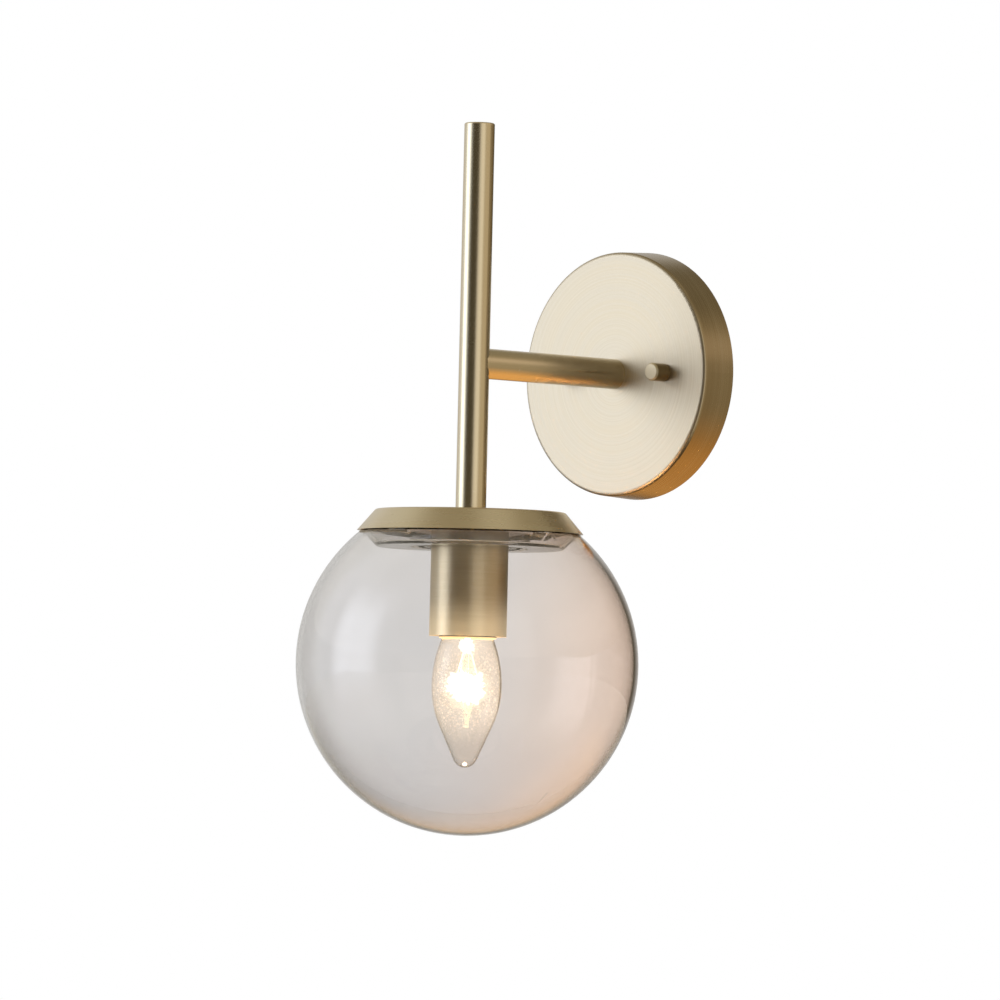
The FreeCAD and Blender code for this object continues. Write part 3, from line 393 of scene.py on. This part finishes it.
TIP_GLOW, TIP_FULL, TIP_END = 2.2, 0.7 * MM, 1.5 * MM
STEM_LIGHT, STEM_GLOW = (1.0, 0.82, 0.60), 2.6
STEM_STREAKS = (1500.0, 1500.0, 250.0)      # per metre
STEM_LIT, STEM_DIM, STEM_DIMMED = 12 * MM, 40 * MM, 0.15   # away from the filament
COIL_UNEVEN = 0.8, 1.2                # times the strength of the lit wires


def globe_glass():
    """Clear blown glass with a faint warm grey tint and slow ripples; warm light from the plate and wall
    is painted into its colour on that side, and it is darker towards the bottom.
    """
    made, tree, shader = material("globe_glass_clear", Transmission_Weight=1.0, IOR=BLOWN_GLASS_IOR,
                                  Roughness=0.0)
    side = tree.vector("DOT_PRODUCT", tree.vector("SUBTRACT", place(tree), tuple(GLOBE_CENTRE)), WARM_SIDE)
    # painted reflection of the plate's and wall's warm light
    painted_bounce = tree.ramp(side, WARM_FROM * GLOBE_R, GLOBE_R)
    # darker towards the bottom of the globe
    low_down = tree.ramp(along(tree, "Z"), GLOBE_CENTRE.z - LOW_DARK_FROM * GLOBE_R,
                      GLOBE_CENTRE.z - LOW_DARK_FULL * GLOBE_R)
    tinted = tree.mix(painted_bounce, GLASS_COOL, GLASS_PAINTED_BOUNCE)
    tree.feed(shader.inputs["Base Color"],
              tree.mix(low_down, tinted, tree.vector("MULTIPLY", tinted, GLASS_LOW_DARKER)))
    ripple = tree.noise(place(tree), scale=RIPPLES, detail=1.0)
    tree.feed(shader.inputs["Normal"], tree.bump(ripple, RIPPLE_DEPTH, RIPPLE_BUMP))
    return made


def bulb_glass():
    """Clear candle envelope: a warm veil near the filament, bright specks and a lit tip."""
    made, tree, shader = material("bulb_glass_lit", Transmission_Weight=1.0, IOR=BLOWN_GLASS_IOR,
                                  Roughness=0.0, Base_Color=ENVELOPE)
    spot = place(tree)
    away = tree.vector("DISTANCE", spot, tuple(FILAMENT_CENTRE))
    cells = tree.add("ShaderNodeTexVoronoi")
    tree.feed(cells.inputs["Vector"], spot)
    tree.feed(cells.inputs["Scale"], SPECKS_PER_M)
    picked = tree.ramp(tree.separate(cells.outputs["Color"])[0], *SPECK_SHARE)
    dot = tree.ramp(cells.outputs["Distance"], *SPECK_SIZE, 1.0, 0.0)
    height = along(tree, "Z")
    low = tree.ramp(height, *(FILAMENT_CENTRE.z - below for below in SPECKS_BELOW))
    high = tree.ramp(height, FILAMENT_CENTRE.z, FILAMENT_CENTRE.z + SPECKS_ABOVE, 1.0, SPECKS_LEFT)
    specks = tree.math("MULTIPLY", tree.math("MULTIPLY", picked, dot), tree.math("MULTIPLY", low, high))
    veil = tree.ramp(away, VEIL_FULL, VEIL_END, BULB_VEIL, 0.0)
    tip = tree.ramp(tree.vector("DISTANCE", spot, tuple(TIP_GLINT)), TIP_FULL, TIP_END, TIP_GLOW, 0.0)
    glow(tree, shader, VEIL_LIGHT,
         tree.math("ADD", tree.math("ADD", veil, tip), tree.math("MULTIPLY", specks, BULB_SPECKS)))
    return made


GLARE_CENTRE = Vector((0, GLOBE_CENTRE.y, FILAMENT_CENTRE.z - 2.5 * MM))
STEM_GLARE_CENTRE = Vector((-0.3 * MM, GLOBE_CENTRE.y - 0.3 * MM, CUP_MOUTH - 5.0 * MM))

# Balls of light: name, centre, radius of the core, height of the spikes, how many spikes,
# height against width, colour, strength, and how much of what is behind shows through
BURSTS = [
    ("filament_glare", GLARE_CENTRE, 7.4 * MM, 6.5 * MM, 3.2, 0.74, (1.0, 0.97, 0.90), 3.0, 0.0),
    ("filament_halo", GLARE_CENTRE, 10.5 * MM, 4.0 * MM, 2.2, 0.90, (1.0, 0.86, 0.66), 1.7, 0.72),
    ("filament_warmth", GLARE_CENTRE, 13.8 * MM, 1.6 * MM, 1.6, 1.0, (1.0, 0.79, 0.55), 1.15, 0.86),
    ("stem_glare", STEM_GLARE_CENTRE, 3.2 * MM, 2.4 * MM, 3.0, 0.85, (1.0, 0.95, 0.86), 2.5, 0.0),
]
BURST_SPLITS = 5                      # of the icosphere that each one starts from
FINER, FINER_SHARE = 2.3, 0.5         # smaller spikes on the large ones
SPIKE_POWER = 1.3                     # above 1 the spikes are slender
EDGE_GLOW = 0.8                       # times the strength, at the tips of the spikes
CLEAR_FROM, CLEAR_FULL = 0.9, 0.8     # times the core, and times the spikes beyond it


def light_burst(name, centre, core, spike, points, flat, colour, strength, through):
    """Ragged ball of light, the glare of the lit coil or of the stem above it."""
    mesh = bpy.data.meshes.new(name)
    shape = bmesh.new()
    bmesh.ops.create_icosphere(shape, subdivisions=BURST_SPLITS, radius=1.0)
    for vert in shape.verts:
        way = vert.co.normalized()
        lift = noise.noise(way * points) + FINER_SHARE * noise.noise(way * points * FINER)
        size = core + spike * max(lift, 0.0) ** SPIKE_POWER
        vert.co = centre + Vector((way.x, way.y, way.z * flat)) * size
    shape.to_mesh(mesh)
    shape.free()
    mesh.shade_smooth()
    burst = bpy.data.objects.new(name, mesh)
    bpy.context.scene.collection.objects.link(burst)
    made, tree, shader = material(name, Base_Color=(0.0, 0.0, 0.0), Roughness=1.0, Specular_IOR_Level=0.0)
    away = tree.vector("DISTANCE", place(tree), tuple(centre))
    glow(tree, shader, colour, tree.ramp(away, core, core + spike, strength, strength * EDGE_GLOW))
    tree.feed(shader.inputs["Alpha"],
              tree.ramp(away, core * CLEAR_FROM, core + spike * CLEAR_FULL, 1.0 - through, 0.0))
    mesh.materials.append(made)
    burst.visible_shadow = burst.visible_glossy = burst.visible_diffuse = False
    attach(burst, "bulb")


def glowing(name, colour, strength, scale):
    """Glowing wire, a little uneven along its coil: the filament is white-hot, while the lead wires' glow
    is painted light.
    """
    made, tree, shader = material(name, Base_Color=(0.2, 0.2, 0.2), Roughness=0.5)
    coil = tree.noise(place(tree), scale=scale, detail=1.0)
    glow(tree, shader, colour, tree.ramp(coil, *NOISE_SPAN, *(strength * part for part in COIL_UNEVEN)))
    return made


def lit_stem_glass():
    """Glass stem inside the bulb, lit from the filament below it."""
    made, tree, shader = material("bulb_stem_lit", Transmission_Weight=1.0, IOR=STEM_GLASS_IOR,
                                  Roughness=0.03, Base_Color=(0.97, 0.95, 0.92))
    away = tree.vector("DISTANCE", place(tree), tuple(FILAMENT_CENTRE))
    streak = tree.noise(tree.vector("MULTIPLY", place(tree), STEM_STREAKS), detail=2.0)
    light = tree.math("MULTIPLY", tree.ramp(away, STEM_LIT, STEM_DIM, 1.0, STEM_DIMMED), streak)
    glow(tree, shader, STEM_LIGHT, tree.math("MULTIPLY", light, STEM_GLOW))
    return made


def dress_nodes():
    """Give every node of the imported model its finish."""
    about_stem = {"axis": "Z", "centre": STEM_AXIS}
    about_arm = {"axis": "Y", "centre": (0, 0, 0)}
    smooth = {"depth": 0.0, "contrast": 0.10, "wear": 0.015}
    zinc = plain_metal("zinc_steel_plated", ZINC, ZINC_DULL)
    raw_brass = plain_metal("plain_brass_turned", RAW_BRASS, RAW_BRASS_DULL)
    tin = plain_metal("bulb_metal_tinned", TIN, TIN_DULL, scale=600.0)
    finishes = {
        "backplate": plate_brass(),
        "arm_tube": brushed_brass("brass_arm", **about_arm, **smooth),
        "stem_tube": brushed_brass("brass_stem", **about_stem, **smooth),
        "stem_top_plug": brushed_brass("brass_plug", **about_stem),
        "shade_cap": brushed_brass("brass_cap", **about_stem),
        "socket_cup": cup_brass(),
        "knob_nut_left": knob_brass("brass_knob_left", (-KNOB_X, 0, 0)),
        "knob_nut_right": knob_brass("brass_knob_right", (KNOB_X, 0, 0)),
        "globe_fitter": fitter_enamel(),
        "globe_glass": globe_glass(),
        "bulb_glass": bulb_glass(),
        "bulb_stem": lit_stem_glass(),
        "bulb_filament": glowing("filament_hot", (1.0, 0.86, 0.66), strength=9.0, scale=4000.0),
        # painted light: the lead wires are no lamp, their glow is painted
        "bulb_lead_wires": glowing("lead_wires_lit", (1.0, 0.78, 0.52), strength=2.2, scale=900.0),
        "globe_gasket": moulded("gasket_rubber_white", (0.72, 0.71, 0.68), 0.6),
        "terminal_block": moulded("terminal_plastic", (0.78, 0.76, 0.70), 0.4),
        "lamp_holder_body": holder_plastic(),
        "bulb_insulator": moulded("insulator_black_glass", (0.02, 0.02, 0.025), 0.15, depth=0.03),
        "live_wire": moulded("wire_brown_sleeve", (0.18, 0.07, 0.03), 0.45),
        "neutral_wire": moulded("wire_blue_sleeve", (0.03, 0.12, 0.42), 0.45),
        "earth_wire": striped_wire("wire_earth_sleeve", (0.05, 0.30, 0.07), (0.75, 0.62, 0.05)),
        "bulb_base": tin,
        "bulb_contact": tin,
    }
    for name in ("lamp_holder_shell", "lamp_holder_contact", "lamp_holder_terminals", "arm_wall_bush",
                 "arm_stem_bush", "stem_bush", "stem_joint_block", "terminal_barrels"):
        finishes[name] = raw_brass
    for name, node in NODES.items():
        finish = finishes.get(name, zinc)
        node.data.materials.clear()
        node.data.materials.append(finish)
    for name in ("globe_glass", "bulb_glass", "bulb_stem"):
        NODES[name].visible_shadow = False


# ---- Studio ----

def studio_world():
    """White for the camera and through glass; a soft studio for shiny surfaces."""
    world = bpy.data.worlds.new("studio")
    world.use_nodes = True
    bpy.context.scene.world = world
    tree = Tree(world.node_tree)
    background = world.node_tree.nodes["Background"]
    direction = tree.add("ShaderNodeTexCoord").outputs["Generated"]
    x, y, z = tree.separate(direction)
    level = tree.vector("NORMALIZE", tree.combine(x, y, 0.0))
    upper = tree.mix(tree.ramp(z, *TOP_RISE), STUDIO_DARK, STUDIO_TOP)
    glossy = tree.mix(tree.ramp(z, *FLOOR_FALL), upper, STUDIO_FLOOR)
    for middle, full, soft, low, high, edge, colour in SOFT_LIGHTS:
        heading = CAMERA_AZIMUTH + math.radians(middle)
        towards = (math.sin(heading), -math.cos(heading), 0.0)
        mask = tree.ramp(tree.vector("DOT_PRODUCT", level, towards),
                         math.cos(math.radians(soft)), math.cos(math.radians(full)))
        mask = tree.math("MULTIPLY", mask, tree.ramp(z, low - edge / 2, low + edge / 2))
        mask = tree.math("MULTIPLY", mask, tree.ramp(z, high + edge / 2, high - edge / 2))
        glossy = tree.vector("ADD", glossy, tree.scaled(colour, mask))
    path = tree.add("ShaderNodeLightPath").outputs
    mirrored = tree.math("GREATER_THAN", path["Glossy Depth"], 0.5)
    seen = tree.math("MAXIMUM", path["Is Camera Ray"], path["Is Transmission Ray"])
    straight = tree.mix(seen, (AMBIENT, AMBIENT, AMBIENT), (1.0, 1.0, 1.0))
    tree.feed(background.inputs["Color"], tree.mix(mirrored, straight, glossy))


def add_light(name, kind, energy, colour, location, **settings):
    data = bpy.data.lights.new(name, kind)
    data.energy, data.color = energy, colour
    for key, value in settings.items():
        setattr(data, key, value)
    light = bpy.data.objects.new(name, data)
    light.location = location
    bpy.context.scene.collection.objects.link(light)
    return light


def studio_lights():
    sun = add_light("soft_key", "SUN", SUN_STRENGTH, (1, 1, 1), SUN_FROM, angle=SUN_ANGLE)
    sun.rotation_euler = (-SUN_FROM).to_track_quat("-Z", "Y").to_euler()
    sun.visible_glossy = sun.visible_transmission = False
    add_light("filament_light", "POINT", BULB_POWER, BULB_LIGHT, FILAMENT_CENTRE,
              shadow_soft_size=BULB_LIGHT_R)


def studio_floor():
    corners = [(x * FLOOR_HALF, y * FLOOR_HALF, GLOBE_LOW[2] - FLOOR_DROP)
               for x, y in ((-1, -1), (1, -1), (1, 1), (-1, 1))]
    mesh = bpy.data.meshes.new("floor")
    mesh.from_pydata(corners, [], [(0, 1, 2, 3)])
    floor = bpy.data.objects.new("floor", mesh)
    bpy.context.scene.collection.objects.link(floor)
    paper, tree, shader = material("floor_paper", Roughness=0.9, Specular_IOR_Level=0.0)
    tree.feed(shader.inputs["Base Color"], tree.mix(tree.noise(place(tree), scale=PAPER_GRAIN), *PAPER))
    mesh.materials.append(paper)
    floor.visible_glossy = False      # shiny surfaces see the studio's own floor


def add_camera():
    """The photograph's view: a long lens, a little below the globe and to its right."""
    sideways, forward = math.sin(CAMERA_AZIMUTH), -math.cos(CAMERA_AZIMUTH)
    back = Vector((sideways * math.cos(CAMERA_ELEVATION), forward * math.cos(CAMERA_ELEVATION),
                   math.sin(CAMERA_ELEVATION)))
    right = Vector((-forward, sideways, 0))
    up = back.cross(right)
    rolled_right = right * math.cos(CAMERA_ROLL) + up * math.sin(CAMERA_ROLL)
    rolled_up = up * math.cos(CAMERA_ROLL) - right * math.sin(CAMERA_ROLL)
    target = GLOBE_CENTRE + rolled_right * LOOK_RIGHT + Vector((0, 0, LOOK_UP))
    data = bpy.data.cameras.new("camera")
    data.sensor_width = SENSOR_MM
    data.lens = FOCAL_PX * SENSOR_MM / PICTURE_PX
    data.clip_end = CAMERA_FAR
    camera = bpy.data.objects.new("camera", data)
    bpy.context.scene.collection.objects.link(camera)
    turn = Matrix((rolled_right, rolled_up, back)).transposed().to_4x4()
    camera.matrix_world = Matrix.Translation(target + back * CAMERA_DISTANCE) @ turn
    bpy.context.scene.camera = camera


dress_nodes()
for burst_row in BURSTS:
    light_burst(*burst_row)
studio_world()
studio_lights()
studio_floor()
add_camera()
bpy.context.scene.view_settings.view_transform = "Standard"
